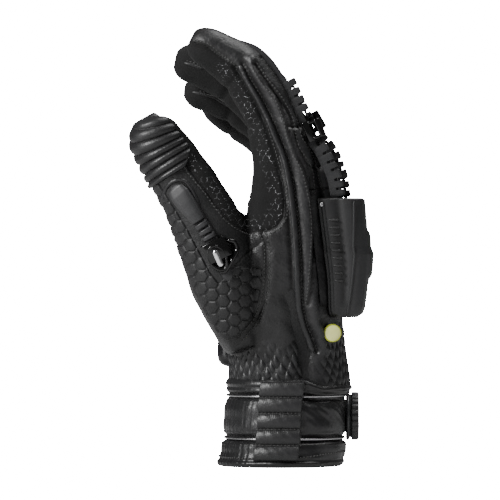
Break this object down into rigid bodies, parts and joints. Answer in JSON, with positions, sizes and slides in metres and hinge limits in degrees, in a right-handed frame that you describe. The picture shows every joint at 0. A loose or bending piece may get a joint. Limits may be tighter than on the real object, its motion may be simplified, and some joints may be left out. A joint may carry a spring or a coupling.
{
  "type": "motorcycle glove",
  "caption": "Right-hand armoured leather motorcycle glove with toothed finger spines, a moulded knuckle pod, a ribbed thumb and a short laced cuff with a closure dial.",
  "frame": {"origin": "centre of the cuff's opening, in the plane of its hem", "axes": "+Z from the cuff towards the fingers, +X the back of the hand, -X the palm, -Y the thumb side"},
  "size_m": [0.1347, 0.1203, 0.244],
  "materials": {
    "leather": "satin black",
    "soft_leather": "soft satin black",
    "suede": "matt with a silver-grey dotted print",
    "moulding": "matt dark grey",
    "gloss": "gloss black",
    "steel": "twisted wire",
    "button": "satin pale yellow"
  },
  "bodies": {
    "glove": {"hand": "leather", "index_finger": "leather", "middle_finger": "leather", "ring_finger": "leather", "little_finger": "leather", "thumb": "leather", "cuff": "soft_leather", "cuff_rib_panel": "leather", "back_pad": "leather", "knuckle_pod": "moulding", "index_spine": "moulding", "middle_spine": "moulding", "ring_spine": "moulding", "little_spine": "moulding", "index_keeper": "gloss", "middle_keeper": "gloss", "ring_keeper": "gloss", "little_keeper": "gloss", "thumb_rib_pad": "leather", "thenar_pad": "leather", "thumb_spine": "moulding", "thumb_keeper": "gloss", "palm_patch": "suede", "palm_slider": "gloss", "wrist_button": "button", "upper_lace": "steel", "lower_lace": "steel", "dial_base": "moulding"},
    "dial": {"dial_knob": "moulding"}
  },
  "joints": [
    {"name": "dial_turn", "type": "hinge", "parent": "glove", "child": "dial", "pos_m": [0.039, 0, 0.02752], "axis": [1, 0, 0], "continuous": true}
  ]
}
